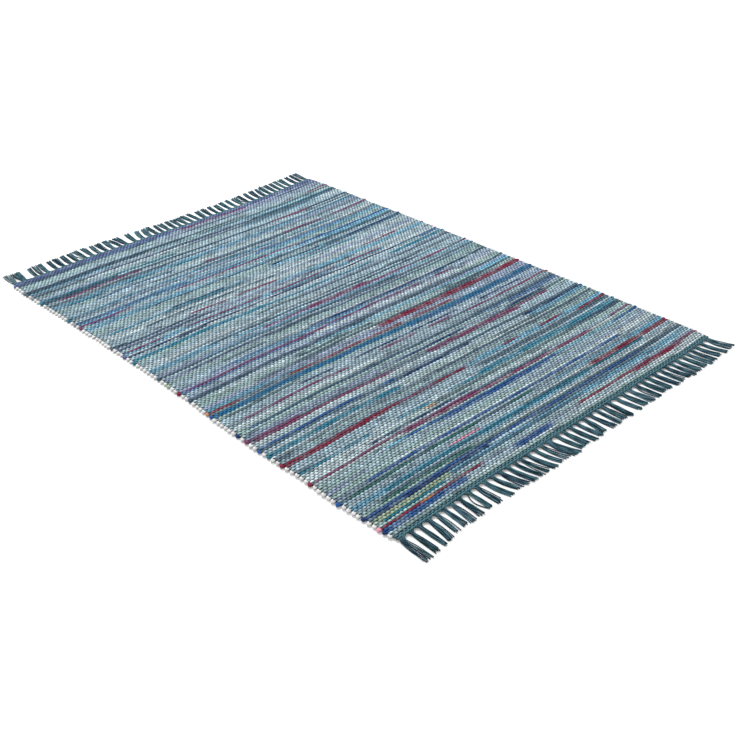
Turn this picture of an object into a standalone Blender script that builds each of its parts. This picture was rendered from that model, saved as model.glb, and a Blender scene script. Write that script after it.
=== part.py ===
"""A hand-woven rag rug: one flat plain-weave cloth with a tasselled fringe comb at each end.

Frame: X runs across the rug from its left selvedge to its right one, Y runs along the rug
from its near end to its far end, and Z is up. The rug lies flat on z = 0, and the origin is
the middle of its box on that floor.
"""

from collections import namedtuple
import math

import bmesh
import bpy

MM = 0.001

# Driving dimensions, in metres.
WEAVE_WIDTH = 0.720
WEAVE_LENGTH = 0.990
BODY_THICKNESS = 0.0055
SELVEDGE_ROUND = 0.0018
SWELL = 0.0003
HEADING_THICKNESS = 0.0046
NEAR_HEADING = 0.0085
FAR_HEADING = 0.0050
PIECE_GAP = 0.0003
TASSEL_LAY_THICKNESS = 0.0042
TASSEL_TIP_THICKNESS = 0.0030

# How finely the cloth and the tassels are cut into flat facets.
BODY_COLUMNS = 16
BODY_ROWS = 44

# How far each selvedge is drawn in from the widest line, at shares of the length
# counted from the near end.
Waist = namedtuple("Waist", "share left_mm right_mm")
WAISTS = (
    Waist(0.00, 4.0, 2.0),
    Waist(0.06, 2.5, 0.5),
    Waist(0.12, 0.0, 0.3),
    Waist(0.18, 2.0, 0.0),
    Waist(0.26, 0.0, 0.2),
    Waist(0.36, 1.5, 0.5),
    Waist(0.46, 6.0, 0.9),
    Waist(0.55, 7.0, 0.4),
    Waist(0.67, 6.8, 1.8),
    Waist(0.80, 4.5, 4.0),
    Waist(0.90, 2.0, 5.0),
    Waist(0.96, 0.5, 6.5),
    Waist(1.00, 2.0, 9.0),
)

# How far each woven end is drawn in from the longest line, at shares of the width
# counted from the left selvedge.
EndSag = namedtuple("EndSag", "share near_mm far_mm")
END_SAGS = (
    EndSag(0.00, 4.5, 0.0),
    EndSag(0.08, 5.5, 2.5),
    EndSag(0.22, 7.4, 0.8),
    EndSag(0.36, 5.7, 4.8),
    EndSag(0.56, 4.0, 10.5),
    EndSag(0.70, 2.8, 12.7),
    EndSag(0.80, 1.5, 12.0),
    EndSag(0.88, 0.0, 9.8),
    EndSag(1.00, 1.7, 5.3),
)

# The tassels of each end from the left, in groups that lie alike. A group starts after a
# blank, and each of its tassels has a slot of the pitch; lean is how far the tip lies to
# the right of the root, and reach is how far it lies past the woven edge.
Group = namedtuple("Group", "blank_mm tassels pitch_mm width_mm lean_mm reach_mm")
NEAR_TASSELS = (
    Group(0.0, 1, 17.0, 13.5, -1.0, 52),
    Group(2.0, 2, 15.5, 8.5, -0.5, 51),
    Group(1.5, 1, 15.0, 8.5, -6.0, 46),
    Group(0.0, 4, 14.5, 9.0, -3.0, 44),
    Group(3.0, 2, 16.0, 9.0, -0.5, 44),
    Group(0.0, 4, 15.3, 9.5, 7.5, 45),
    Group(0.0, 2, 12.5, 9.0, 6.0, 47),
    Group(0.0, 2, 15.5, 9.0, 8.0, 46),
    Group(0.0, 1, 12.0, 9.0, 8.0, 46),
    Group(0.0, 1, 18.0, 14.5, 10.0, 47),
    Group(3.0, 3, 14.5, 9.0, 3.5, 45),
    Group(0.0, 1, 15.0, 9.0, 4.5, 45),
    Group(2.0, 1, 13.0, 9.0, -4.0, 43),
    Group(0.0, 1, 15.0, 9.0, 5.5, 44),
    Group(2.0, 3, 14.0, 9.0, 0.5, 45),
    Group(3.0, 3, 16.0, 9.5, 4.0, 44),
    Group(2.0, 4, 15.2, 9.5, 3.5, 43),
    Group(1.0, 4, 14.0, 9.0, 3.5, 45),
    Group(2.0, 3, 13.3, 9.0, 5.0, 45),
    Group(0.0, 2, 15.0, 9.0, 7.0, 44),
    Group(2.0, 1, 19.0, 15.0, 8.0, 43),
)
FAR_TASSELS = (
    Group(0.0, 2, 18.0, 13.5, 4.0, 43),
    Group(10.0, 3, 11.5, 9.0, 5.0, 44),
    Group(5.0, 4, 15.0, 9.5, 3.5, 43),
    Group(2.0, 1, 15.0, 10.0, -3.0, 43),
    Group(0.0, 4, 15.0, 9.5, 3.0, 44),
    Group(1.0, 2, 13.0, 9.5, 1.0, 44),
    Group(5.0, 1, 16.0, 9.5, 3.5, 42),
    Group(1.0, 2, 16.5, 10.5, 8.0, 47),
    Group(0.0, 5, 13.7, 9.0, 3.0, 46),
    Group(0.0, 3, 14.5, 9.0, -1.5, 47),
    Group(0.0, 4, 15.5, 9.0, 5.5, 47),
    Group(0.0, 5, 15.8, 9.0, 4.0, 48),
    Group(0.0, 3, 14.5, 9.5, 8.0, 52),
    Group(1.0, 4, 14.0, 8.5, 5.0, 52),
    Group(4.0, 3, 14.0, 9.5, 5.0, 52),
)
REACH_SPREAD = 0.0015
LEAN_SPREAD = 0.0008
TASSEL_STATIONS = (0.30, 0.65, 1.00)
TASSEL_SPLAY = 1.12
TASSEL_SHOULDER = 0.22

RAG_COLOUR = (0.36, 0.47, 0.53)
YARN_COLOUR = (0.07, 0.20, 0.24)
CLOTH_ROUGHNESS = 0.9
YARN_ROUGHNESS = 0.85


def eased(table, column, share):
    """A column of a table at a share between its rows, level at each row."""
    for lower, upper in zip(table, table[1:]):
        if share <= upper.share:
            t = (share - lower.share) / (upper.share - lower.share)
            t = t * t * (3 - 2 * t)
            low = getattr(lower, column)
            high = getattr(upper, column)
            return (low + (high - low) * t) * MM
    return getattr(table[-1], column) * MM


def left_edge(v):
    return -WEAVE_WIDTH / 2 + eased(WAISTS, "left_mm", v)


def right_edge(v):
    return WEAVE_WIDTH / 2 - eased(WAISTS, "right_mm", v)


def end_sag(column, u):
    """The sag of a woven end, straight between the columns of the body so that the pieces fit."""
    lower = min(int(u * BODY_COLUMNS), BODY_COLUMNS - 1)
    t = u * BODY_COLUMNS - lower
    low = eased(END_SAGS, column, lower / BODY_COLUMNS)
    high = eased(END_SAGS, column, (lower + 1) / BODY_COLUMNS)
    return low + (high - low) * t


def near_edge(u):
    return -WEAVE_LENGTH / 2 + end_sag("near_mm", u)


def far_edge(u):
    return WEAVE_LENGTH / 2 - end_sag("far_mm", u)


def across(u, v, inset=0.0):
    """X at share u of the width, on the line at share v of the length."""
    left = left_edge(v) + inset
    right = right_edge(v) - inset
    return left + (right - left) * u


def material(name, colour, roughness):
    made = bpy.data.materials.new(name)
    made.use_nodes = True
    shader = made.node_tree.nodes["Principled BSDF"]
    shader.inputs["Base Color"].default_value = (*colour, 1.0)
    shader.inputs["Roughness"].default_value = roughness
    shader.inputs["Metallic"].default_value = 0.0
    return made


def finished(name, bm, surface):
    """A named object from a closed bmesh, with its faces turned outwards."""
    bmesh.ops.recalc_face_normals(bm, faces=bm.faces)
    mesh = bpy.data.meshes.new(name)
    bm.to_mesh(mesh)
    bm.free()
    mesh.materials.append(surface)
    mesh.shade_smooth()
    mesh.set_sharp_from_angle(angle=math.radians(40))
    made = bpy.data.objects.new(name, mesh)
    bpy.context.scene.collection.objects.link(made)
    return made


def rug_body(surface):
    """The woven slab: a flat underside, a slightly uneven top, and rounded selvedges."""
    bm = bmesh.new()
    start = NEAR_HEADING + PIECE_GAP
    stop = FAR_HEADING + PIECE_GAP

    def along(u, v):
        return (near_edge(u) + start) * (1 - v) + (far_edge(u) - stop) * v

    def point(i, j, z, inset):
        u = i / BODY_COLUMNS
        v = j / BODY_ROWS
        return bm.verts.new((across(u, v, inset), along(u, v), z))

    def top_height(i, j):
        wave = math.sin(2.6 * math.tau * j / BODY_ROWS) * math.cos(1.3 * math.tau * i / BODY_COLUMNS)
        return BODY_THICKNESS - SWELL + SWELL * wave

    columns = range(BODY_COLUMNS + 1)
    rows = range(BODY_ROWS + 1)
    floor = {(i, j): point(i, j, 0.0, SELVEDGE_ROUND) for i in columns for j in rows}
    top = {(i, j): point(i, j, top_height(i, j), SELVEDGE_ROUND) for i in columns for j in rows}
    for i in range(BODY_COLUMNS):
        for j in range(BODY_ROWS):
            corners = ((i, j), (i + 1, j), (i + 1, j + 1), (i, j + 1))
            bm.faces.new([top[c] for c in corners])
            bm.faces.new([floor[c] for c in reversed(corners)])

    rim = [(i, 0) for i in range(BODY_COLUMNS)]
    rim += [(BODY_COLUMNS, j) for j in range(BODY_ROWS)]
    rim += [(i, BODY_ROWS) for i in range(BODY_COLUMNS, 0, -1)]
    rim += [(0, j) for j in range(BODY_ROWS, 0, -1)]
    middle = {}
    for i, j in rim:
        middle[i, j] = point(i, j, BODY_THICKNESS / 2, 0.0)
    for here, there in zip(rim, rim[1:] + rim[:1]):
        bm.faces.new((floor[here], floor[there], middle[there], middle[here]))
        bm.faces.new((middle[here], middle[there], top[there], top[here]))
    return finished("rug_body", bm, surface)


def slots(groups):
    """Each tassel's middle, width, lean and reach, in metres from the left selvedge."""
    scale = WEAVE_WIDTH / sum((g.blank_mm + g.tassels * g.pitch_mm) * MM for g in groups)
    at = 0.0
    found = []
    for group in groups:
        at += group.blank_mm * MM * scale
        for _ in range(group.tassels):
            k = len(found)
            middle = at + group.pitch_mm * MM * scale / 2
            lean = group.lean_mm * MM + LEAN_SPREAD * math.sin(2.9 * k + 0.4)
            reach = group.reach_mm * MM + REACH_SPREAD * math.sin(4.3 * k + 1.7)
            found.append((middle, group.width_mm * MM, lean, reach))
            at += group.pitch_mm * MM * scale
    return found


def fringe_comb(name, groups, edge, heading, outward, surface):
    """The heading strip and its tassels as one comb; outward is -1 at the near end, 1 at the far end."""
    bm = bmesh.new()
    v = 0.0 if outward < 0 else 1.0
    left = across(0.0, v)
    right = across(1.0, v)
    squeeze = (right - left) / WEAVE_WIDTH
    half = HEADING_THICKNESS / 2

    def station(x, y):
        return [bm.verts.new((x, y, z)) for z in (0.0, half, HEADING_THICKNESS)]

    def post(x):
        """The comb's outer and inner corners above one place on the woven edge."""
        u = (x - left) / (right - left)
        y = edge(u)
        return station(x, y), station(x, y - outward * heading)

    def strip(first, second, open_outside):
        """The stretch of heading between two posts."""
        outer_a, inner_a = first
        outer_b, inner_b = second
        bm.faces.new((outer_a[0], outer_b[0], inner_b[0], inner_a[0]))
        bm.faces.new((outer_a[2], inner_a[2], inner_b[2], outer_b[2]))
        for k in (0, 1):
            bm.faces.new((inner_a[k], inner_b[k], inner_b[k + 1], inner_a[k + 1]))
            if open_outside:
                bm.faces.new((outer_a[k], outer_a[k + 1], outer_b[k + 1], outer_b[k]))

    def ring_of(a, b):
        return [a[0], b[0], b[1], b[2], a[2], a[1]]

    def tassel(first, second, width, lean, reach):
        """A tassel drawn out from the heading: it lies down on the floor and splays a little."""
        ring = ring_of(first[0], second[0])
        root = (first[0][0].co + second[0][0].co) / 2
        for share in TASSEL_STATIONS:
            middle = root.x + lean * share * share
            y = root.y + outward * reach * share
            wide = width * (1 + (TASSEL_SPLAY - 1) * share) / 2
            tall = TASSEL_LAY_THICKNESS + (TASSEL_TIP_THICKNESS - TASSEL_LAY_THICKNESS) * share
            inner = wide - width * TASSEL_SHOULDER
            outline = ((-inner, 0), (inner, 0), (wide, tall / 2), (inner, tall), (-inner, tall), (-wide, tall / 2))
            next_ring = [bm.verts.new((middle + dx, y, z)) for dx, z in outline]
            for k in range(6):
                m = (k + 1) % 6
                bm.faces.new((ring[k], ring[m], next_ring[m], next_ring[k]))
            ring = next_ring
        bm.faces.new(ring)

    tassels = slots(groups)
    posts = [post(left)]
    outside_open = []
    for middle, width, _, _ in tassels:
        x = left + middle * squeeze
        posts.append(post(max(x - width / 2, left + PIECE_GAP)))
        posts.append(post(min(x + width / 2, right - PIECE_GAP)))
        outside_open += [True, False]
    posts.append(post(right))
    outside_open.append(True)
    for first, second, is_open in zip(posts, posts[1:], outside_open):
        strip(first, second, is_open)
    for outer, inner in (posts[0], posts[-1]):
        for k in (0, 1):
            bm.faces.new((outer[k], outer[k + 1], inner[k + 1], inner[k]))
    for k, (_, width, lean, reach) in enumerate(tassels):
        tassel(posts[2 * k + 1], posts[2 * k + 2], width, lean, reach)
    return finished(name, bm, surface)


def centre_on_floor(objects):
    """Moves the meshes together so that their box is centred over the origin."""
    corners = [vertex.co for made in objects for vertex in made.data.vertices]
    middle_x = (min(c.x for c in corners) + max(c.x for c in corners)) / 2
    middle_y = (min(c.y for c in corners) + max(c.y for c in corners)) / 2
    for made in objects:
        for vertex in made.data.vertices:
            vertex.co.x -= middle_x
            vertex.co.y -= middle_y
        made.data.update()


def build():
    for leftover in list(bpy.data.objects):
        bpy.data.objects.remove(leftover, do_unlink=True)
    rags = material("rag_weave", RAG_COLOUR, CLOTH_ROUGHNESS)
    yarn = material("warp_yarn", YARN_COLOUR, YARN_ROUGHNESS)
    pieces = (
        rug_body(rags),
        fringe_comb("fringe_near", NEAR_TASSELS, near_edge, NEAR_HEADING, -1, yarn),
        fringe_comb("fringe_far", FAR_TASSELS, far_edge, FAR_HEADING, 1, yarn),
    )
    centre_on_floor(pieces)


build()
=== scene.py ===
"""A hand-woven rag rug of pale and bright cotton rags on a teal warp, lying flat on a pale floor.

It is put together as the weaver makes it: the warp, the rags, their turns at the selvedges,
the yarn headings, the tassels, and then the floor, the light and the camera.
"""

from collections import namedtuple
import math

import bpy
from mathutils import Matrix, Vector
import numpy as np


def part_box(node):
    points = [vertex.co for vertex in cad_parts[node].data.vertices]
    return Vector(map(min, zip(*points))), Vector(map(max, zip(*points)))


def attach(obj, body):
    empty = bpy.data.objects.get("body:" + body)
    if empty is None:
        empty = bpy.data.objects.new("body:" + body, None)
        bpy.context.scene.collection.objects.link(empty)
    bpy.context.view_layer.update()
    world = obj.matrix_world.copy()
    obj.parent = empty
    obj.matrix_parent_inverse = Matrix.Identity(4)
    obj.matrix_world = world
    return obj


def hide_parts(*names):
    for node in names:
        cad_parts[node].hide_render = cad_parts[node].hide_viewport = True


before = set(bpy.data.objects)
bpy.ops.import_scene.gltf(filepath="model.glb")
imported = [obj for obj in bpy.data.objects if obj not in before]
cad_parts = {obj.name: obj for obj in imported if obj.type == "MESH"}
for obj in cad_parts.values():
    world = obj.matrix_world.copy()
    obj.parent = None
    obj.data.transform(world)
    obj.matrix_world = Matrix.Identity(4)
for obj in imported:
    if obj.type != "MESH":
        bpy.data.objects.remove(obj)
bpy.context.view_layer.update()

# ---- The warp ----
# 190 ends of plied cotton yarn, dyed teal, stretched side by side for the whole length of the
# rug. Each end goes over one pick and under the next. The beater packs the picks together, and
# the pull of the rags leaves the selvedges drawn in and the cloth's ends a little curved.

MM = 0.001
ENDS = 190
BODY_PICKS = 204
NEAR_YARN_PICKS = 2
FAR_YARN_PICKS = 2
NEAR_HEADING = 0.0085
FAR_HEADING = 0.0050
NEAR_YARN_ROOM = 0.0064
PIECE_GAP = 0.0003
LEFT_TURN_ROOM = 0.0062
RIGHT_TURN_ROOM = 0.0044
BOW = 0.0060
CLOTH_MIDDLE = 0.00275
WARP_RISE = 0.00162
WARP_CROWN = 0.0007
WARP_HALF_WIDTH = 0.00108
WARP_NECK = 0.00060
LEFT_END_WIDENING = 1.6
YARN_PICK_RISE = 0.8
WARP_TEAL = (0.007, 0.050, 0.070)
WARP_NAVY = (0.009, 0.034, 0.080)
WARP_PALE = (0.165, 0.360, 0.430)
WARP_RISE_RANGE = (0.90, 1.10)
WARP_WIDTH_RANGE = (0.88, 1.12)
WARP_STRAY = 0.00016
YARN_TONE = 0.22
YARN_TONE_SPREAD = 0.15
YARN_BLUE_MOST = 0.8
YARN_SHEEN = 0.02
YARN_RELIEF = 0.0004
COTTON_SPECULAR = 0.12
SHEEN_ROUGHNESS = 0.6

# How far each selvedge is drawn in from the widest line, at shares of the length
# counted from the near end.
Waist = namedtuple("Waist", "share left_mm right_mm")
WAISTS = (
    Waist(0.00, 4.0, 2.0),
    Waist(0.06, 2.5, 0.5),
    Waist(0.12, 0.0, 0.3),
    Waist(0.18, 2.0, 0.0),
    Waist(0.26, 0.0, 0.2),
    Waist(0.36, 1.5, 0.5),
    Waist(0.46, 6.0, 0.9),
    Waist(0.55, 7.0, 0.4),
    Waist(0.67, 6.8, 1.8),
    Waist(0.80, 4.5, 4.0),
    Waist(0.90, 2.0, 5.0),
    Waist(0.96, 0.5, 6.5),
    Waist(1.00, 2.0, 9.0),
)

# How far each woven end is drawn in from the longest line, at shares of the width
# counted from the left selvedge.
EndSag = namedtuple("EndSag", "share near_mm far_mm")
END_SAGS = (
    EndSag(0.00, 4.5, 0.0),
    EndSag(0.08, 5.5, 2.5),
    EndSag(0.22, 7.4, 0.8),
    EndSag(0.36, 5.7, 4.8),
    EndSag(0.56, 4.0, 10.5),
    EndSag(0.70, 2.8, 12.7),
    EndSag(0.80, 1.5, 12.0),
    EndSag(0.88, 0.0, 9.8),
    EndSag(1.00, 1.7, 5.3),
)

# Picks that the weaver made fatter, with a doubled rag: the pick counted from the near
# heading, and how much more room it takes.
FAT_PICKS = {31: 0.35, 83: 0.45, 84: 0.25}
FAT_FROM = 0.2
FAT_OVER = 0.3

# How unevenly the picks are beaten up: slow waves across the width, as (cycles, size), and
# the spread from one pick to the next.
BEAT_WAVES = ((0.8, 0.010), (2.3, 0.012), (6.0, 0.012))
BEAT_SPREAD = 0.10
BEAT_LIMITS = (-0.2, 0.25)

body_low, body_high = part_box("rug_body")


def smooth(t):
    t = np.clip(t, 0.0, 1.0)
    return t * t * (3 - 2 * t)


def eased(table, column, share):
    """A column of a table at shares between its rows, level at each row, in metres."""
    shares = np.array([row.share for row in table])
    values = np.array([getattr(row, column) for row in table])
    lower = np.clip(np.searchsorted(shares, share, side="right") - 1, 0, len(table) - 2)
    t = smooth((share - shares[lower]) / (shares[lower + 1] - shares[lower]))
    return (values[lower] + (values[lower + 1] - values[lower]) * t) * MM


def across(u, v):
    """X at share u of the width, on the line at share v of the length."""
    left = body_low.x + eased(WAISTS, "left_mm", v)
    right = body_high.x - eased(WAISTS, "right_mm", v)
    return left + (right - left) * u


def near_line(u):
    return body_low.y - PIECE_GAP - NEAR_HEADING + eased(END_SAGS, "near_mm", u)


def far_line(u):
    return body_high.y + PIECE_GAP + FAR_HEADING - eased(END_SAGS, "far_mm", u)


def wander(chance, rows, places, waves):
    """Smooth random lines along places from 0 to 1, each the sum of waves of (cycles, size)."""
    lines = np.zeros((rows, len(places)))
    for cycles, size in waves:
        pace = cycles * chance.uniform(0.7, 1.3, (rows, 1))
        start = chance.uniform(0, math.tau, (rows, 1))
        lines += size * np.sin(math.tau * pace * places + start)
    return lines


def beat_up(chance, u):
    """Y of the lines between the picks, from the near end line to the far one, on each end."""
    room = 1 + wander(chance, BODY_PICKS, u, BEAT_WAVES)
    room += chance.normal(0.0, BEAT_SPREAD, (BODY_PICKS, 1)).clip(*BEAT_LIMITS)
    for pick, extra in FAT_PICKS.items():
        room[pick] += extra * smooth((u - FAT_FROM) / FAT_OVER)
    woven = np.vstack([np.zeros(len(u)), np.cumsum(room, axis=0)])
    woven = woven / woven[-1]
    start = near_line(u) + NEAR_YARN_ROOM
    stop = far_line(u) - FAR_HEADING
    body = start + (stop - start) * woven - BOW * smooth(u) * np.sin(math.pi * woven)
    near = [near_line(u) + NEAR_YARN_ROOM * k / NEAR_YARN_PICKS for k in range(NEAR_YARN_PICKS)]
    far = [stop + FAR_HEADING * (k + 1) / FAR_YARN_PICKS for k in range(FAR_YARN_PICKS)]
    return np.vstack([near, body, far])


cloth_width = body_high.x - body_low.x
turn_room = (LEFT_TURN_ROOM + RIGHT_TURN_ROOM) / cloth_width
end_share = LEFT_TURN_ROOM / cloth_width + (np.arange(ENDS) + 0.5) / ENDS * (1 - turn_room)
beat = beat_up(np.random.default_rng(11), end_share)
PICKS = len(beat) - 1
pick_middle = (beat[:-1] + beat[1:]) / 2
pick_room = beat[1:] - beat[:-1]
is_body = np.arange(PICKS) - NEAR_YARN_PICKS
is_body = (is_body >= 0) & (is_body < BODY_PICKS)
warp_is_up = (np.arange(PICKS)[:, None] + np.arange(ENDS)[None, :]) % 2 == 0


def length_share(y, u):
    return np.clip((y - near_line(u)) / (far_line(u) - near_line(u)), 0.0, 1.0)


class Value:
    """An output socket that Python's arithmetic works on by adding Math nodes."""

    def __init__(self, recipe, socket):
        self.recipe = recipe
        self.socket = socket

    def __add__(self, other):
        return self.recipe.math("ADD", self, other)

    def __mul__(self, other):
        return self.recipe.math("MULTIPLY", self, other)

    __radd__ = __add__
    __rmul__ = __mul__


class Recipe:
    """One material: its Principled shader, and the nodes that colour and roughen it."""

    def __init__(self, name, roughness, sheen):
        self.material = bpy.data.materials.new(name)
        self.material.use_nodes = True
        self.tree = self.material.node_tree
        self.shader = self.tree.nodes["Principled BSDF"]
        self.shader.inputs["Roughness"].default_value = roughness
        self.shader.inputs["Specular IOR Level"].default_value = COTTON_SPECULAR
        self.shader.inputs["Sheen Weight"].default_value = sheen
        self.shader.inputs["Sheen Roughness"].default_value = SHEEN_ROUGHNESS

    def node(self, kind, settings, values, output=0):
        """Adds a node: its settings first, then its sockets' values or links."""
        made = self.tree.nodes.new(kind)
        for name, value in settings.items():
            if name == "stops":
                self.set_stops(made.color_ramp, value)
            else:
                setattr(made, name, value)
        for name, value in values.items():
            self.feed(made.inputs[name], value)
        return Value(self, made.outputs[output])

    def set_stops(self, ramp, stops):
        while len(ramp.elements) < len(stops):
            ramp.elements.new(1.0)
        for element, (place, level) in zip(ramp.elements, stops):
            element.position = place
            element.color = (level, level, level, 1.0)

    def feed(self, socket, value):
        if isinstance(value, Value):
            self.tree.links.new(value.socket, socket)
        elif isinstance(value, tuple) and socket.type == "RGBA":
            socket.default_value = (*value, 1.0)
        else:
            socket.default_value = value

    def math(self, operation, first, second):
        return self.node("ShaderNodeMath", {"operation": operation}, {0: first, 1: second})

    def mark(self, name, output="Fac"):
        """A value or colour that the mesh carries at its points."""
        return self.node("ShaderNodeAttribute", {"attribute_name": name}, {}, output)

    def place(self, stretch=(1.0, 1.0, 1.0)):
        """The point's place in metres, stretched so that a noise comes out long or short."""
        point = self.node("ShaderNodeNewGeometry", {}, {}, "Position")
        return self.node("ShaderNodeVectorMath", {"operation": "MULTIPLY"}, {0: point, 1: stretch})

    def noise(self, vector, scale, detail=2.0, roughness=0.5):
        values = {"Vector": vector, "Scale": scale, "Detail": detail, "Roughness": roughness}
        return self.node("ShaderNodeTexNoise", {}, values, "Fac")

    def ramp(self, value, stops):
        return self.node("ShaderNodeValToRGB", {"stops": stops}, {"Fac": value}, "Color")

    def blend(self, share, first, second):
        values = {0: share, 6: first, 7: second}
        return self.node("ShaderNodeMix", {"data_type": "RGBA"}, values, 2)

    def scaled(self, colour, value):
        values = {0: colour, "Scale": value}
        return self.node("ShaderNodeVectorMath", {"operation": "SCALE"}, values)

    def finish(self, colour, roughness, height, depth):
        """Feeds the shader: its colour, its roughness, and a bump of that depth in metres."""
        self.feed(self.shader.inputs["Base Color"], colour)
        self.feed(self.shader.inputs["Roughness"], roughness)
        bump = self.node("ShaderNodeBump", {}, {"Height": height, "Strength": 1.0, "Distance": depth})
        self.feed(self.shader.inputs["Normal"], bump)
        return self.material


def yarn_finish():
    """Plied cotton yarn: each end's own tone, pale streaks and a little fuzz, with a painted
    highlight on its ridges and painted shade at its edges and in its hollows.
    """
    recipe = Recipe("teal_cotton_yarn", 0.85, YARN_SHEEN)
    ridge = recipe.mark("ridge")
    tone = recipe.mark("yarn_tone")
    blue = recipe.mark("yarn_blue")
    fuzz = recipe.noise(recipe.place(), 1500.0, 3.0, 0.6)
    streak = recipe.noise(recipe.place((1.0, 0.35, 1.0)), 420.0, 2.0)
    # The pale share: each end's own tone and streaks, plus a painted highlight where the ridge value
    # is high.
    wear_and_painted_highlight = (ridge * 0.60 + tone * 0.85 + streak * 0.40) * 0.55
    pale = recipe.ramp(wear_and_painted_highlight, ((0.36, 0.0), (0.92, 1.0)))
    colour = recipe.blend(blue, WARP_TEAL, WARP_NAVY)
    colour = recipe.blend(pale, colour, WARP_PALE)
    # Painted shade and highlight: the colour is scaled down towards the yarn's edges and necks and
    # kept light on its ridges.
    colour = recipe.scaled(colour, 0.10 + ridge * 0.76 + fuzz * 0.35)
    return recipe.finish(colour, 0.76 + fuzz * 0.2, fuzz + ridge * 0.6, YARN_RELIEF)


def piece(name, rings, closed, surface, marks):
    """One mesh from strands of rings[strand, station, corner], riding on the rug's body.

    Its marks are point values or colours of the same order. Its flat map is the plan view,
    so its faces go in from the lowest to the highest, and the upper ones lie on top there.
    """
    strands, stations, corners = rings.shape[:3]
    index = np.arange(strands * stations * corners).reshape(strands, stations, corners)
    here = index if closed else index[:, :, :-1]
    turn = np.roll(index, -1, axis=2) if closed else index[:, :, 1:]
    quads = np.stack([here[:, :-1], turn[:, :-1], turn[:, 1:], here[:, 1:]], axis=-1)
    points = rings.reshape(-1, 3)
    quads = quads.reshape(-1, 4)
    quads = quads[np.argsort(points[quads, 2].mean(axis=1), kind="stable")]
    caps = np.concatenate([index[:, 0, ::-1], index[:, -1]]).tolist() if closed else []
    faces = caps + quads.tolist()
    mesh = bpy.data.meshes.new(name)
    mesh.from_pydata(points.tolist(), [], faces)
    for mark, values in marks.items():
        kind = "FLOAT_COLOR" if values.ndim == 4 else "FLOAT"
        field = "color" if values.ndim == 4 else "value"
        layer = mesh.attributes.new(mark, kind, "POINT")
        shape = rings.shape[:3] + ((4,) if values.ndim == 4 else ())
        layer.data.foreach_set(field, np.broadcast_to(values, shape).astype(np.float32).ravel())
    low = points.min(axis=0)
    span = points.max(axis=0) - low
    corner = np.empty(len(mesh.loops), np.int32)
    mesh.loops.foreach_get("vertex_index", corner)
    plan = mesh.uv_layers.new(name="OFBake")
    plan.data.foreach_set("uv", ((points - low) / span)[corner, :2].astype(np.float32).ravel())
    mesh.shade_smooth()
    mesh.materials.append(surface)
    made = bpy.data.objects.new(name, mesh)
    bpy.context.scene.collection.objects.link(made)
    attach(made, "root")
    return made


def warp_rings(chance):
    """Each end as one long arched ribbon of three points, over and under every pick."""
    y = np.empty((2 * PICKS + 1, ENDS))
    y[0::2] = beat
    y[1::2] = pick_middle
    x = across(end_share, length_share(y, end_share))
    side = np.zeros_like(y)
    side[1::2] = np.where(warp_is_up, 1.0, -1.0)
    lift = WARP_RISE * chance.uniform(*WARP_RISE_RANGE, (PICKS, ENDS))
    lift[~is_body] *= YARN_PICK_RISE
    rise = np.zeros_like(y)
    rise[1::2] = lift
    half = np.full_like(y, WARP_NECK)
    half[1::2] = WARP_HALF_WIDTH * chance.uniform(*WARP_WIDTH_RANGE, (PICKS, ENDS))
    half[:, 0] *= LEFT_END_WIDENING
    x[1::2] += chance.normal(0.0, WARP_STRAY, (PICKS, ENDS))
    rings = np.empty((ENDS, len(y), 3, 3))
    for corner, sideways in enumerate((1, 0, -1)):
        crown = 0.0 if sideways == 0 else WARP_CROWN
        rings[:, :, corner, 0] = (x + half * sideways).T
        rings[:, :, corner, 1] = y.T
        rings[:, :, corner, 2] = (CLOTH_MIDDLE + side * np.maximum(rise - crown, 0.0)).T
    # Painted light for the yarn's finish: 1 on the crown of each arch, 0.45 at its edges, 0 at the
    # necks between picks.
    ridge = np.zeros((ENDS, len(y), 3))
    ridge[:, 1::2] = (0.45, 1.0, 0.45)
    return rings, ridge


warp_chance = np.random.default_rng(5)
warp_yarn = yarn_finish()
warp_points, warp_painted_light = warp_rings(warp_chance)
warp_tone = warp_chance.normal(YARN_TONE, YARN_TONE_SPREAD, (ENDS, 1, 1)).clip(0.0, 1.0)
warp_blue = warp_chance.uniform(0.0, YARN_BLUE_MOST, (ENDS, 1, 1))
warp_halves = (
    ("warp_left_half", slice(0, ENDS // 2)),
    ("warp_right_half", slice(ENDS // 2, ENDS)),
)
for name, ends in warp_halves:
    warp_marks = {
        "ridge": warp_painted_light[ends],
        "yarn_tone": warp_tone[ends],
        "yarn_blue": warp_blue[ends],
    }
    piece(name, warp_points[ends], False, warp_yarn, warp_marks)

# ---- The rags ----
# Strips torn from worn cotton cloth, folded flat and thrown as one weft from selvedge to
# selvedge, each strip joined to the next. Most are white, ice blue and grey; the bright ones
# come from prints, and a run of one colour lasts as long as its strip does.

RAG_RISE = 0.00062
RAG_HALF_THICKNESS = 0.00172
RAG_PINCH = 0.88
RAG_FILL = 0.56
PRINT_AND_LINE_DARK = (0.045, 0.090, 0.135)
FADED_RAG = (0.50, 0.60, 0.65)
RAG_SHEEN = 0.04
RAG_RELIEF = 0.0007
RAG_STRAY = 0.00022
RAG_TALL_RANGE = (0.86, 1.14)
RAG_RISE_RANGE = (0.9, 1.08)
CROSSING_SHADE = (0.72, 1.20)
PIECES_OF_WEFT = 4

# A rag's cut section, as shares of its half width and half thickness: flat on top, where it
# shows, and pinched to a keel below.
RAG_OUTLINE = ((1.0, 0.0), (0.56, 1.0), (-0.56, 1.0), (-1.0, 0.0), (0.0, -1.0))
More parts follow.
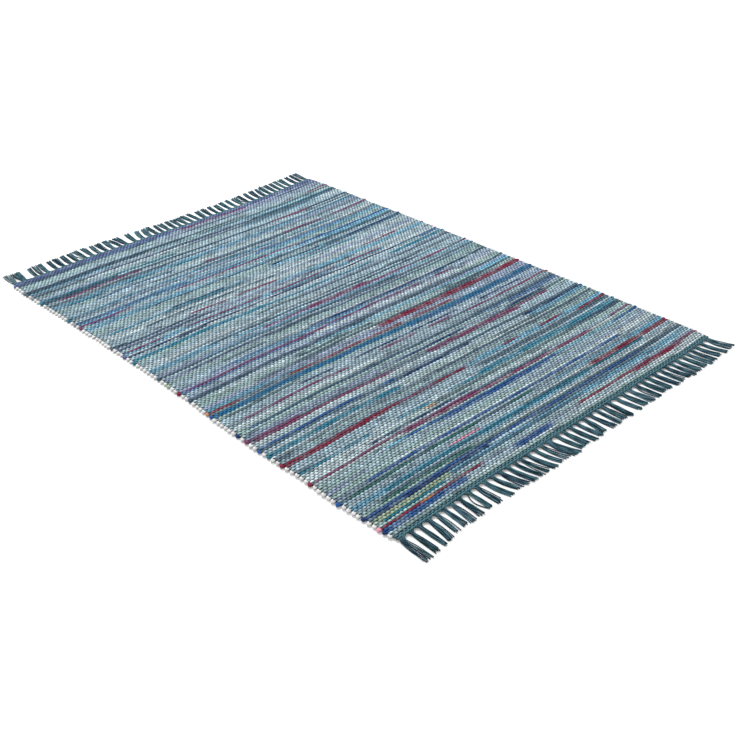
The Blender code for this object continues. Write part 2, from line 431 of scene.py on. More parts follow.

# How long a plain rag lasts, in widths of the rug, and how its dye lot differs; then the
# waves of its faded and its printed patches, as (cycles, size), and the long dark lines along some
# picks.
RAG_LENGTH = (0.15, 1.3)
RAG_LOT = (0.84, 1.10)
FADE_WAVES = ((3.0, 0.12), (9.0, 0.13), (23.0, 0.12), (51.0, 0.08))
FADE_LIMITS = (0.6, 1.3)
PRINT_WAVES = ((2.2, 0.5), (7.0, 0.45), (17.0, 0.35))
PRINT_START = (0.45, 1.3)
PRINT_EDGE = 0.35
PRINT_DEPTH = 0.6
DARK_LINE_CHANCE = 0.28
DARK_LINE_START = (-0.2, 0.8)
DARK_LINE_SHARE = (0.15, 0.80)
DARK_LINE_EDGE = 0.04
DARK_LINE_DEPTH = 0.80

# How a noted stripe fades out at its ends, how strongly it covers, and where it has worn.
CM = 0.01
STRIPE_FADE_CM = 1.4
STRIPE_HOLD = 0.88
WEAR_WAVES = ((5.0, 0.12), (13.0, 0.12), (31.0, 0.08))

Dye = namedtuple("Dye", "share colour")
RAG_DYES = {
    "white": Dye(0.15, (0.50, 0.61, 0.65)),
    "ice": Dye(0.38, (0.345, 0.475, 0.55)),
    "lilac": Dye(0.11, (0.30, 0.375, 0.51)),
    "mint": Dye(0.13, (0.315, 0.455, 0.46)),
    "sky": Dye(0.09, (0.17, 0.39, 0.54)),
    "slate": Dye(0.02, (0.05, 0.095, 0.14)),
    "denim": Dye(0.04, (0.10, 0.19, 0.36)),
    "teal": Dye(0.02, (0.015, 0.16, 0.24)),
    "grey": Dye(0.05, (0.20, 0.28, 0.34)),
    "undyed": Dye(0.0, (0.70, 0.69, 0.68)),
    "cyan": Dye(0.0, (0.035, 0.22, 0.33)),
    "azure": Dye(0.0, (0.014, 0.15, 0.31)),
    "navy": Dye(0.0, (0.010, 0.032, 0.130)),
    "blue": Dye(0.0, (0.018, 0.090, 0.30)),
    "violet": Dye(0.0, (0.10, 0.12, 0.28)),
    "magenta": Dye(0.0, (0.20, 0.042, 0.125)),
    "crimson": Dye(0.0, (0.21, 0.014, 0.045)),
    "brick": Dye(0.0, (0.24, 0.055, 0.070)),
    "pink": Dye(0.0, (0.74, 0.28, 0.38)),
    "orange": Dye(0.0, (0.52, 0.24, 0.12)),
    "olive": Dye(0.0, (0.34, 0.44, 0.30)),
    "green": Dye(0.0, (0.02, 0.13, 0.11)),
}

# The weaver's notes: a bright or dark rag laid in at a distance from the near heading, how
# many picks it fills, and the stretches of the width where it shows, in centimetres.
Stripe = namedtuple("Stripe", "at_cm picks rag runs_cm")
STRIPES = (
    Stripe(1.0, 2, "blue", ((0, 16), (26, 34))),
    Stripe(2.0, 1, "crimson", ((0, 20), (41, 72))),
    Stripe(2.0, 1, "orange", ((8, 10),)),
    Stripe(1.5, 1, "crimson", ((54, 67),)),
    Stripe(3.5, 2, "olive", ((0, 15),)),
    Stripe(4.5, 1, "navy", ((0, 24),)),
    Stripe(5.0, 1, "blue", ((0, 60),)),
    Stripe(6.0, 1, "green", ((4, 22),)),
    Stripe(8.5, 1, "pink", ((20, 26),)),
    Stripe(8.0, 2, "crimson", ((51, 72),)),
    Stripe(10.0, 1, "green", ((2, 14), (17, 27), (34, 39))),
    Stripe(11.0, 1, "blue", ((6, 62),)),
    Stripe(12.0, 1, "mint", ((4, 40),)),
    Stripe(13.5, 2, "blue", ((24, 48),)),
    Stripe(14.0, 1, "blue", ((17, 50), (65, 72))),
    Stripe(15.0, 1, "magenta", ((17, 60),)),
    Stripe(15.5, 1, "magenta", ((0, 33), (66, 72))),
    Stripe(16.5, 1, "navy", ((12, 33),)),
    Stripe(17.5, 1, "orange", ((24, 26),)),
    Stripe(18.5, 1, "cyan", ((0, 14), (19, 26), (30, 72))),
    Stripe(19.0, 1, "cyan", ((37, 72),)),
    Stripe(21.0, 1, "crimson", ((0, 20), (64, 72))),
    Stripe(21.5, 1, "crimson", ((0, 37),)),
    Stripe(22.0, 1, "crimson", ((46, 50), (55, 61))),
    Stripe(24.0, 2, "cyan", ((0, 26),)),
    Stripe(26.0, 1, "navy", ((28, 43), (56, 72))),
    Stripe(26.5, 1, "blue", ((0, 20), (24, 27))),
    Stripe(28.5, 1, "magenta", ((1, 28), (36, 58))),
    Stripe(29.0, 1, "magenta", ((0, 10), (36, 66))),
    Stripe(30.0, 1, "navy", ((31, 46), (56, 66))),
    Stripe(33.5, 1, "magenta", ((3, 24), (51, 72))),
    Stripe(34.0, 1, "magenta", ((31, 39), (42, 47))),
    Stripe(35.0, 1, "navy", ((15, 22), (26, 50), (55, 66))),
    Stripe(37.0, 2, "azure", ((0, 72),)),
    Stripe(38.5, 1, "brick", ((0, 6), (16, 40), (42, 52))),
    Stripe(40.0, 2, "crimson", ((36, 72),)),
    Stripe(42.0, 1, "slate", ((20, 36), (54, 72))),
    Stripe(43.5, 1, "slate", ((0, 36),)),
    Stripe(44.0, 1, "slate", ((0, 72),)),
    Stripe(46.0, 1, "magenta", ((1, 30),)),
    Stripe(46.5, 1, "magenta", ((30, 52), (56, 60))),
    Stripe(47.5, 1, "denim", ((7, 60),)),
    Stripe(48.0, 1, "navy", ((28, 72),)),
    Stripe(51.0, 1, "slate", ((5, 31),)),
    Stripe(52.0, 1, "slate", ((0, 10), (31, 52))),
    Stripe(53.5, 1, "magenta", ((22, 56), (59, 66), (70, 72))),
    Stripe(54.0, 1, "magenta", ((32, 46),)),
    Stripe(55.0, 1, "slate", ((12, 60),)),
    Stripe(55.5, 1, "slate", ((38, 60),)),
    Stripe(59.0, 2, "cyan", ((0, 28), (57, 72))),
    Stripe(59.0, 1, "cyan", ((28, 52),)),
    Stripe(60.5, 1, "white", ((16, 60),)),
    Stripe(61.0, 1, "navy", ((0, 60),)),
    Stripe(62.5, 1, "magenta", ((1, 8), (13, 29), (31, 46), (49, 57))),
    Stripe(64.0, 1, "slate", ((0, 20), (40, 52))),
    Stripe(66.0, 1, "magenta", ((16, 24), (26, 35), (56, 65))),
    Stripe(67.5, 1, "slate", ((8, 36),)),
    Stripe(69.5, 1, "cyan", ((2, 31), (42, 58))),
    Stripe(71.5, 1, "navy", ((38, 50), (57, 72))),
    Stripe(73.0, 1, "slate", ((13, 45), (48, 72))),
    Stripe(75.0, 1, "blue", ((2, 7), (47, 72))),
    Stripe(75.5, 1, "magenta", ((0, 11), (20, 48))),
    Stripe(79.0, 1, "cyan", ((0, 62),)),
    Stripe(81.0, 1, "magenta", ((30, 33), (49, 59), (62, 72))),
    Stripe(83.5, 1, "teal", ((3, 10), (14, 21), (24, 31))),
    Stripe(86.5, 1, "magenta", ((3, 20),)),
    Stripe(87.0, 1, "magenta", ((51, 60),)),
    Stripe(88.0, 1, "teal", ((0, 29),)),
    Stripe(90.0, 1, "slate", ((0, 72),)),
    Stripe(91.5, 1, "sky", ((0, 17),)),
    Stripe(93.0, 1, "slate", ((0, 50),)),
    Stripe(93.0, 1, "magenta", ((59, 62), (66, 72))),
    Stripe(96.0, 1, "slate", ((0, 30), (60, 72))),
    Stripe(96.5, 1, "magenta", ((36, 52),)),
    Stripe(97.0, 2, "violet", ((0, 72),)),
)


def filler_rags(chance):
    """The dye and shade of the plain rags, crossing by crossing, along the one long weft."""
    names = list(RAG_DYES)
    odds = np.array([RAG_DYES[name].share for name in names])
    crossings = BODY_PICKS * ENDS
    colours = np.empty((crossings, 3))
    at = 0
    while at < crossings:
        dye = RAG_DYES[names[chance.choice(len(names), p=odds / odds.sum())]].colour
        run = int(chance.uniform(*RAG_LENGTH) * ENDS)
        colours[at:at + run] = np.array(dye) * chance.uniform(*RAG_LOT)
        at += run
    colours = colours.reshape(BODY_PICKS, ENDS, 3)
    colours[1::2] = colours[1::2, ::-1]
    return colours


def print_patches(colours, chance):
    """The printed and faded patches along each rag, from a few ends to a third of the width, and long
    dark lines along some picks.
    """
    faded = wander(chance, BODY_PICKS, end_share, FADE_WAVES)
    printed = wander(chance, BODY_PICKS, end_share, PRINT_WAVES)
    starts = chance.uniform(*PRINT_START, (BODY_PICKS, 1))
    dark = smooth((printed - starts) / PRINT_EDGE) * PRINT_DEPTH
    # Long dark lines along some picks, laid in the dark print's colour.
    for pick in np.flatnonzero(chance.random(BODY_PICKS) < DARK_LINE_CHANCE):
        start = chance.uniform(*DARK_LINE_START)
        stop = start + chance.uniform(*DARK_LINE_SHARE)
        begins = smooth((end_share - start) / DARK_LINE_EDGE)
        shows = begins * smooth((stop - end_share) / DARK_LINE_EDGE)
        dark[pick] = np.maximum(dark[pick], DARK_LINE_DEPTH * shows)
    colours = colours * np.clip(1.0 + faded * 0.7, *FADE_LIMITS)[..., None]
    return colours * (1 - dark[..., None]) + np.array(PRINT_AND_LINE_DARK) * dark[..., None]


def pick_at(at_cm):
    """The pick that lies at a distance from the near heading."""
    share = at_cm * CM / (body_high.y - body_low.y)
    return min(int(share * BODY_PICKS), BODY_PICKS - 1)


def lay_stripes(colours, chance):
    """Lays the noted stripes over the plain rags, with a worn print that fades in and out."""
    place_cm = end_share * cloth_width / CM
    for stripe in STRIPES:
        first = pick_at(stripe.at_cm)
        picks = slice(first, min(first + stripe.picks, BODY_PICKS))
        dye = np.array(RAG_DYES[stripe.rag].colour)
        wear_and_painted_highlight = wander(chance, 1, end_share, WEAR_WAVES)[0]
        for start, stop in stripe.runs_cm:
            begun = smooth((place_cm - start) / STRIPE_FADE_CM + 0.5)
            inside = begun * smooth((stop - place_cm) / STRIPE_FADE_CM + 0.5)
            hold = (inside * np.clip(STRIPE_HOLD + wear_and_painted_highlight, 0.0, 1.0))[:, None]
            colours[picks] = colours[picks] * (1 - hold) + dye * hold
    return colours


def rag_finish():
    """Worn cotton cloth: fine threads, faded patches, painted shade in the hollows between and under
    the picks, and a painted highlight on the crests.
    """
    recipe = Recipe("worn_cotton_rag", 0.9, RAG_SHEEN)
    colour = recipe.mark("rag_colour", "Color")
    crest = recipe.mark("crest")
    threads = recipe.noise(recipe.place((0.5, 1.0, 1.0)), 1300.0, 3.0, 0.6)
    folds = recipe.noise(recipe.place((0.4, 1.0, 1.0)), 330.0, 2.0)
    faded = recipe.noise(recipe.place((0.6, 1.0, 1.0)), 120.0, 2.0)
    colour = recipe.blend(recipe.ramp(faded, ((0.55, 0.0), (0.80, 0.18))), colour, FADED_RAG)
    # Painted shade and highlight: near black on the sides between picks, darker on the tops that dip
    # under the warp, and brighter than the rag's own colour on the tops that rise over it.
    shade = recipe.ramp(crest, ((0.0, 0.015), (0.44, 0.12), (0.74, 0.84), (1.0, 1.30)))
    colour = recipe.scaled(colour, 0.62 + threads * 0.38 + folds * 0.38)
    colour = recipe.scaled(colour, shade)
    return recipe.finish(colour, 0.80 + threads * 0.18, threads * 0.5 + folds, RAG_RELIEF)


def rag_rings(picks, half_thickness, rise, fill, chance):
    """The picks as flattened tubes that rise over one end of the warp and dip under the next.

    One more station lies outside the first and the last end, where the rag starts to turn.
    """
    def outer(line):
        before = 2 * line[:, :1] - line[:, 1:2]
        after = 2 * line[:, -1:] - line[:, -2:-1]
        return np.hstack([before, line, after])

    share = outer(end_share[None, :])
    y = outer(pick_middle[picks])
    x = across(share, length_share(y, np.clip(share, 0.0, 1.0)))
    half = outer(pick_room[picks]) * fill
    up = outer(np.where(warp_is_up[picks], -1.0, 1.0))
    up[:, 0] = 0.0
    up[:, -1] = 0.0
    tall = half_thickness * np.where(up > 0, 1.0, RAG_PINCH)
    tall = tall * chance.uniform(*RAG_TALL_RANGE, y.shape)
    z = CLOTH_MIDDLE + up * rise * chance.uniform(*RAG_RISE_RANGE, y.shape)
    y = y + chance.normal(0.0, RAG_STRAY, y.shape)
    rings = np.empty(y.shape + (len(RAG_OUTLINE), 3))
    crest = np.empty(y.shape + (len(RAG_OUTLINE),))
    for corner, (sideways, upward) in enumerate(RAG_OUTLINE):
        rings[..., corner, 0] = x
        rings[..., corner, 1] = y + sideways * half
        rings[..., corner, 2] = z + upward * tall
        # Painted light for the rag's finish: 1 on the tops that rise over the warp, 0.6 on the tops
        # that dip under it and 0 on the sides between picks; the undersides the same way round from
        # below.
        crest[..., corner] = abs(upward) * (0.80 + 0.20 * up * upward)
    return rings, np.clip(crest, 0.0, 1.0)


rag_chance = np.random.default_rng(23)
rag_colours = print_patches(filler_rags(rag_chance), rag_chance)
rag_colours = lay_stripes(rag_colours, rag_chance)
rag_colours *= rag_chance.uniform(*CROSSING_SHADE, rag_colours.shape[:2])[..., None]
rag_colours = np.concatenate([rag_colours, np.ones(rag_colours.shape[:2] + (1,))], axis=2)
rag_cloth = rag_finish()
body_picks = slice(NEAR_YARN_PICKS, NEAR_YARN_PICKS + BODY_PICKS)
rag_points, rag_painted_light = rag_rings(
    body_picks, RAG_HALF_THICKNESS, RAG_RISE, RAG_FILL, rag_chance
)
station_colours = np.hstack([rag_colours[:, :1], rag_colours, rag_colours[:, -1:]])
for part in range(PIECES_OF_WEFT):
    run = slice(part * BODY_PICKS // PIECES_OF_WEFT, (part + 1) * BODY_PICKS // PIECES_OF_WEFT)
    rag_marks = {"rag_colour": station_colours[run][:, :, None, :], "crest": rag_painted_light[run]}
    name = f"rag_weft_{part + 1}"
    made = piece(name, rag_points[run], True, rag_cloth, rag_marks)
    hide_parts("rug_body")

# ---- The turns at the selvedges ----
# The same rag where it goes round the outermost end and back into the next shed. Nothing
# crosses it there, so it stands out as a plump fold in its own raw colour.

LEFT_TURN_REACH = 0.0030
RIGHT_TURN_REACH = 0.0012
RIGHT_TURN_SPREAD = 0.0022
TURN_SPREAD = 0.0007
TURN_SPREAD_SHARE = 0.85
TURN_HALF_WIDTH = 0.0022
TURN_HALF_HEIGHT = 0.0021
TURN_WIDTH_RANGE = (0.9, 1.1)
TURN_HEIGHT_RANGE = (0.85, 1.08)
TURN_LIFT_RANGE = (-0.0002, 0.0004)
TURN_DROP = 0.0003
TURN_WHITENING = 0.9
LEFT_REACH_LIMITS = (-0.001, 0.0012)
RIGHT_REACH_LEAST = -0.0006
TURN_STATIONS = 9
TURN_CORNERS = 8

# Turns whose colour stands out at the selvedge, at centimetres from the near heading.
Turn = namedtuple("Turn", "at_cm rag")
LEFT_TURNS = (
    Turn(1.0, "navy"),
    Turn(2.0, "pink"),
    Turn(5.0, "navy"),
    Turn(10.5, "blue"),
    Turn(15.5, "crimson"),
    Turn(21.5, "crimson"),
    Turn(24.5, "teal"),
    Turn(26.5, "blue"),
    Turn(29.0, "magenta"),
    Turn(31.0, "navy"),
    Turn(37.5, "blue"),
    Turn(38.5, "orange"),
    Turn(44.0, "slate"),
    Turn(46.5, "crimson"),
    Turn(49.5, "olive"),
    Turn(52.0, "slate"),
    Turn(59.0, "teal"),
    Turn(61.5, "violet"),
    Turn(75.0, "magenta"),
    Turn(79.0, "teal"),
    Turn(88.0, "teal"),
    Turn(97.0, "violet"),
)
RIGHT_TURNS = (
    Turn(2.0, "crimson"),
    Turn(8.5, "crimson"),
    Turn(14.5, "blue"),
    Turn(15.5, "magenta"),
    Turn(19.0, "teal"),
    Turn(21.5, "crimson"),
    Turn(24.5, "green"),
    Turn(26.0, "blue"),
    Turn(33.5, "crimson"),
    Turn(37.0, "blue"),
    Turn(40.5, "crimson"),
    Turn(44.0, "slate"),
    Turn(53.5, "crimson"),
    Turn(59.0, "teal"),
    Turn(62.0, "pink"),
    Turn(65.5, "crimson"),
    Turn(71.5, "navy"),
    Turn(75.0, "blue"),
    Turn(81.0, "magenta"),
    Turn(93.0, "magenta"),
)


def turn_rings(first, second, outward, reach, chance):
    """Half rings of rag that join the ends of two picks, bulging outward."""
    start = first.mean(axis=1)
    stop = second.mean(axis=1)
    middle = (start + stop) / 2
    half_gap = (stop[:, 1] - start[:, 1]) / 2
    angle = np.linspace(-math.pi / 2, math.pi / 2, TURN_STATIONS)
    plump = 0.80 + 0.28 * np.cos(angle)
    wide = TURN_HALF_WIDTH * chance.uniform(*TURN_WIDTH_RANGE, (len(first), 1)) * plump
    tall = TURN_HALF_HEIGHT * chance.uniform(*TURN_HEIGHT_RANGE, (len(first), 1)) * plump
    lift = CLOTH_MIDDLE - TURN_DROP + chance.uniform(*TURN_LIFT_RANGE, (len(first), 1))
    rings = np.empty((len(first), TURN_STATIONS, TURN_CORNERS, 3))
    crest = np.empty((len(first), TURN_STATIONS, TURN_CORNERS))
    for corner in range(TURN_CORNERS):
        around = math.tau * corner / TURN_CORNERS
        out = reach[:, None] * np.cos(angle) + math.cos(around) * wide * np.cos(angle)
        rings[..., corner, 0] = middle[:, :1] + outward * out
        spread = half_gap[:, None] * TURN_SPREAD_SHARE + math.cos(around) * wide * 0.9
        rings[..., corner, 1] = middle[:, 1:2] + spread * np.sin(angle)
        rings[..., corner, 2] = lift + math.sin(around) * tall
        # Painted light: each turn is lighter on top and on its outward side, darker underneath.
        outer_light = 0.10 * math.cos(around) * np.cos(angle)
        crest[..., corner] = 0.78 + 0.20 * math.sin(around) + outer_light
    if outward < 0:
        rings = rings[:, :, ::-1]
        crest = crest[:, :, ::-1]
    return rings, np.clip(crest, 0.0, 1.0)


def turn_colours(rags, chart, first_pick):
    """The raw colour of each turn: its rag's, whitened, or the one noted for that place."""
    pale = np.array(RAG_DYES["undyed"].colour)
    light = rags[:, :3].max(axis=1, keepdims=True)
    whitened = TURN_WHITENING * smooth((light - 0.10) / 0.15)
    colours = rags[:, :3] * (1 - whitened) + pale * whitened
    for turn in chart:
        k = int(np.clip((pick_at(turn.at_cm) - first_pick) / 2, 0, len(rags) - 1))
        colours[k] = RAG_DYES[turn.rag].colour
    return np.concatenate([colours, np.ones((len(colours), 1))], axis=1)[:, None, None, :]


turn_chance = np.random.default_rng(31)
left_reach = turn_chance.normal(0.0, TURN_SPREAD, BODY_PICKS // 2).clip(*LEFT_REACH_LIMITS)
left_reach = LEFT_TURN_REACH + left_reach
left_turns, left_painted_light = turn_rings(
    rag_points[0::2, 0], rag_points[1::2, 0], -1, left_reach, turn_chance
)
left_colours = turn_colours(rag_colours[0::2, 0], LEFT_TURNS, 0)
left_marks = {"rag_colour": left_colours, "crest": left_painted_light}
made = piece("left_selvedge_turns", left_turns, True, rag_cloth, left_marks)
right_reach = turn_chance.uniform(RIGHT_REACH_LEAST, RIGHT_TURN_SPREAD, BODY_PICKS // 2 - 1)
right_reach = RIGHT_TURN_REACH + right_reach
right_turns, right_painted_light = turn_rings(
    rag_points[1:-1:2, -1], rag_points[2::2, -1], 1, right_reach, turn_chance
)
right_colours = turn_colours(rag_colours[1:-1:2, -1], RIGHT_TURNS, 1)
right_marks = {"rag_colour": right_colours, "crest": right_painted_light}
made = piece("right_selvedge_turns", right_turns, True, rag_cloth, right_marks)

# ---- The headings ----
# A few picks of the teal warp yarn itself, beaten hard against the first and the last rag so
# that they can't slip, and a two-strand cord twined round the ends along the very edge.

YARN_HALF_THICKNESS = 0.00115
YARN_RISE = 0.0008
TWINE_RADIUS = 0.00085
TWINE_ORBIT = 0.00080
TWINE_ENDS_PER_TURN = 2.0
TWINE_STATIONS_PER_END = 3
TWINE_CORNERS = 6
TWINE_OVERHANG = 0.004
YARN_FILL = 0.5
HEADING_TONE = 0.62
TWINE_TONE = 0.6


def twine_rings(line, outward):
    """Two strands that wind round each other along a woven edge, half a turn for each end."""
    stations = ENDS * TWINE_STATIONS_PER_END
    u = np.linspace(end_share[0] - TWINE_OVERHANG, end_share[-1] + TWINE_OVERHANG, stations)
    turns = math.tau * np.linspace(0, ENDS / TWINE_ENDS_PER_TURN, stations)
    v = 0.0 if outward < 0 else 1.0
    rings = np.empty((2, stations, TWINE_CORNERS, 3))
    ridge = np.empty((2, stations, TWINE_CORNERS))
    for strand in range(2):
        phase = turns + math.pi * strand
        centre_y = line(u) + outward * (TWINE_ORBIT * np.cos(phase) - TWINE_RADIUS)
        centre_z = CLOTH_MIDDLE + TWINE_ORBIT * 1.15 * np.sin(phase)
        for corner in range(TWINE_CORNERS):
            around = math.tau * corner / TWINE_CORNERS
            rings[strand, :, corner, 0] = across(u, v)
            rings[strand, :, corner, 1] = centre_y + TWINE_RADIUS * 1.1 * math.cos(around)
            rings[strand, :, corner, 2] = centre_z + TWINE_RADIUS * math.sin(around)
            # Painted light: each strand is lighter on its top and where it winds over the other,
            # darker below.
            ridge[strand, :, corner] = 0.5 + 0.3 * math.sin(around) + 0.2 * np.sin(phase)
    return rings, np.clip(ridge, 0.0, 1.0)


heading_chance = np.random.default_rng(47)
headings = (
    ("near_heading", slice(0, NEAR_YARN_PICKS), near_line, -1),
    ("far_heading", slice(PICKS - FAR_YARN_PICKS, PICKS), far_line, 1),
)
for name, picks, line, outward in headings:
    yarn_points, yarn_painted_light = rag_rings(
        picks, YARN_HALF_THICKNESS, YARN_RISE, YARN_FILL, heading_chance
    )
    yarn_marks = {
        "ridge": yarn_painted_light,
        "yarn_tone": np.full((1, 1, 1), HEADING_TONE),
        "yarn_blue": np.zeros((1, 1, 1)),
    }
    piece(name, yarn_points, True, warp_yarn, yarn_marks)
    twine_points, twine_painted_light = twine_rings(line, outward)
    twine_marks = {
        "ridge": twine_painted_light,
        "yarn_tone": np.full((1, 1, 1), TWINE_TONE),
        "yarn_blue": np.zeros((1, 1, 1)),
    }
    made = piece(name + "_twine", twine_points, True, warp_yarn, twine_marks)

# ---- The fringe ----
# The warp's own ends, left long when the rug was cut from the loom and gathered into 46
# tassels at each end. They lie on the floor as they fell, and their cut tips have opened.

PLIES_PER_END = 2
STRAND_RADIUS = 0.00080
STRAND_STATIONS = 14
STRAND_CORNERS = 5
STRAND_TWIST = 2.2
UPPER_LAYER = 0.00125
GATHER_SHARE = 0.10
DROP_SHARE = 0.30
REACH_SPREAD = 0.0015
LEAN_SPREAD = 0.0008
ROOT_WIDTH = 0.48
TIP_WIDTH = 1.10
LOCKS = 3
LOCK_GAP = 0.0011
STRAY_LIFT = 0.0012
STRAND_WAVE = 0.0003
STRAND_WAVE_PACE = (3, 6)
TIP_SPREAD = 0.0009
CUT_SPREAD = 0.045
LAYER_SETTLES = 0.45
STRAND_TONE_POWER = 1.1
STRAND_BLUE = 0.40
STRAND_BLUE_WAVES = ((7.0, 0.35), (19.0, 0.35))

# The tassels of each end from the left, in groups that lie alike. A group starts after a
# blank, and each of its tassels has a slot of the pitch; lean is how far the tip lies to
# the right of the root, and reach is how far it lies past the woven edge.
Group = namedtuple("Group", "blank_mm tassels pitch_mm width_mm lean_mm reach_mm")
NEAR_TASSELS = (
    Group(0.0, 1, 17.0, 13.5, -1.0, 52),
    Group(2.0, 2, 15.5, 8.5, -0.5, 51),
    Group(1.5, 1, 15.0, 8.5, -6.0, 46),
    Group(0.0, 4, 14.5, 9.0, -3.0, 44),
    Group(3.0, 2, 16.0, 9.0, -0.5, 44),
    Group(0.0, 4, 15.3, 9.5, 7.5, 45),
    Group(0.0, 2, 12.5, 9.0, 6.0, 47),
    Group(0.0, 2, 15.5, 9.0, 8.0, 46),
    Group(0.0, 1, 12.0, 9.0, 8.0, 46),
    Group(0.0, 1, 18.0, 14.5, 10.0, 47),
    Group(3.0, 3, 14.5, 9.0, 3.5, 45),
    Group(0.0, 1, 15.0, 9.0, 4.5, 45),
    Group(2.0, 1, 13.0, 9.0, -4.0, 43),
    Group(0.0, 1, 15.0, 9.0, 5.5, 44),
    Group(2.0, 3, 14.0, 9.0, 0.5, 45),
    Group(3.0, 3, 16.0, 9.5, 4.0, 44),
    Group(2.0, 4, 15.2, 9.5, 3.5, 43),
    Group(1.0, 4, 14.0, 9.0, 3.5, 45),
    Group(2.0, 3, 13.3, 9.0, 5.0, 45),
    Group(0.0, 2, 15.0, 9.0, 7.0, 44),
    Group(2.0, 1, 19.0, 15.0, 8.0, 43),
)
FAR_TASSELS = (
    Group(0.0, 2, 18.0, 13.5, 4.0, 47),
    Group(10.0, 3, 11.5, 9.0, 5.0, 48),
    Group(5.0, 4, 15.0, 9.5, 3.5, 48),
    Group(2.0, 1, 15.0, 10.0, -3.0, 49),
    Group(0.0, 4, 15.0, 9.5, 3.0, 49),
    Group(1.0, 2, 13.0, 9.5, -2.0, 48),
    Group(5.0, 1, 16.0, 9.5, 5.5, 46),
    Group(1.0, 2, 16.5, 10.5, 9.0, 47),
    Group(0.0, 5, 13.7, 9.0, 3.0, 46),
    Group(0.0, 3, 14.5, 9.0, -1.5, 47),
    Group(0.0, 4, 15.5, 9.0, 5.5, 47),
    Group(0.0, 5, 15.8, 9.0, 4.0, 48),
    Group(0.0, 3, 14.5, 9.5, 8.0, 52),
    Group(1.0, 4, 14.0, 8.5, 5.0, 52),
    Group(4.0, 3, 14.0, 9.5, 5.0, 52),
)

# Single strands that have sprung out of their tassel, and how far they bulge to the right.
Stray = namedtuple("Stray", "tassel strand bulge_mm")
NEAR_STRAYS = (
    Stray(8, 0, 4.5),
    Stray(8, 6, -4.5),
    Stray(9, 0, -6.0),
    Stray(20, 7, 3.5),
    Stray(33, 0, -3.0),
    Stray(46, 8, 2.5),
)
FAR_STRAYS = (
    Stray(2, 1, -4.0),
    Stray(10, 0, -5.0),
    Stray(21, 7, 3.5),
    Stray(35, 0, -4.0),
)


def slots(groups, width):
    """Each tassel's start, middle, width, lean and reach, in metres from the left selvedge."""
    scale = width / sum((g.blank_mm + g.tassels * g.pitch_mm) * MM for g in groups)
    at = 0.0
    found = []
    for group in groups:
        at += group.blank_mm * MM * scale
        for _ in range(group.tassels):
            k = len(found)
            middle = at + group.pitch_mm * MM * scale / 2
            lean = group.lean_mm * MM + LEAN_SPREAD * math.sin(2.9 * k + 0.4)
            reach = group.reach_mm * MM + REACH_SPREAD * math.sin(4.3 * k + 1.7)
            found.append((at, middle, group.width_mm * MM, lean, reach))
            at += group.pitch_mm * MM * scale
    return np.array(found)


def fringe_rings(groups, strays, line, outward, chance):
    """The two plies of every end of the warp, gathered with their neighbours into a tassel."""
    v = 0.0 if outward < 0 else 1.0
    left = across(0.0, v)
    squeeze = (across(1.0, v) - left) / (body_high.x - body_low.x)
    tassels = slots(groups, body_high.x - body_low.x)
    root_x = across(end_share, v)
    owner = np.searchsorted(tassels[:, 0] * squeeze, root_x - left, side="right") - 1
    owner = np.clip(owner, 0, len(tassels) - 1)
    s = np.linspace(0.0, 1.0, STRAND_STATIONS)
    width_share = ROOT_WIDTH + (TIP_WIDTH - ROOT_WIDTH) * (0.55 * smooth(s / 0.55) + 0.45 * s)
    rings = np.empty((ENDS * PLIES_PER_END, STRAND_STATIONS, STRAND_CORNERS, 3))
    ridge = np.empty(rings.shape[:3])
    for strand in range(ENDS * PLIES_PER_END):
        end = strand // PLIES_PER_END
        tassel = owner[end]
        _, middle, width, lean, reach = tassels[tassel]
        mates = np.flatnonzero(owner == tassel)
        plies = len(mates) * PLIES_PER_END
        order = (end - mates[0]) * PLIES_PER_END + strand % PLIES_PER_END
        place = (order - (plies - 1) / 2) / plies
        sprung = [x for x in strays if x.tassel == tassel + 1 and x.strand == order]
        bulge = sum(x.bulge_mm * MM for x in sprung)
        lock = order * LOCKS // plies - (LOCKS - 1) / 2
        parting = LOCK_GAP * lock * math.sin(2.1 * tassel + 1.0) * s
        bundle = left + middle * squeeze + place * width * width_share + parting
        gather = smooth(s / GATHER_SHARE)
        x = root_x[end] * (1 - gather) + bundle * gather + lean * s * s
        wave = chance.normal(0, STRAND_WAVE) * np.sin(chance.uniform(*STRAND_WAVE_PACE) * s)
        x += bulge * np.sin(math.pi * s) + wave
        x += chance.normal(0, TIP_SPREAD) * s * s * s
        cut = 1 - abs(chance.normal(0, CUT_SPREAD))
        y = line(end_share[end]) + outward * reach * cut * s
        upper = UPPER_LAYER * (strand % 2) * gather * (1 - LAYER_SETTLES * s)
        rest = STRAND_RADIUS + upper + (STRAY_LIFT if bulge else 0.0) * s * (1 - s)
        z = rest + np.maximum(CLOTH_MIDDLE - rest, 0.0) * (1 - smooth(s / DROP_SHARE))
        path = np.stack([x, y, z], axis=1)
        along = np.gradient(path, axis=0)
        along /= np.linalg.norm(along, axis=1, keepdims=True)
        side = np.stack([-along[:, 1], along[:, 0], np.zeros(STRAND_STATIONS)], axis=1)
        side /= np.linalg.norm(side, axis=1, keepdims=True)
        up = np.cross(along, side)
        twist = STRAND_TWIST * math.tau * s + chance.uniform(0, math.tau)
        for corner in range(STRAND_CORNERS):
            around = math.tau * corner / STRAND_CORNERS
            spoke = side * math.cos(around) + up * math.sin(around)
            rings[strand, :, corner] = path + STRAND_RADIUS * spoke
            # Painted light: each ply is lighter on its upper side, with light and shade painted round
            # it along its twist.
            ridge[strand, :, corner] = 0.36 + 0.34 * math.sin(around) + 0.30 * np.sin(twist + around)
    return rings, np.clip(ridge, 0.0, 1.0)


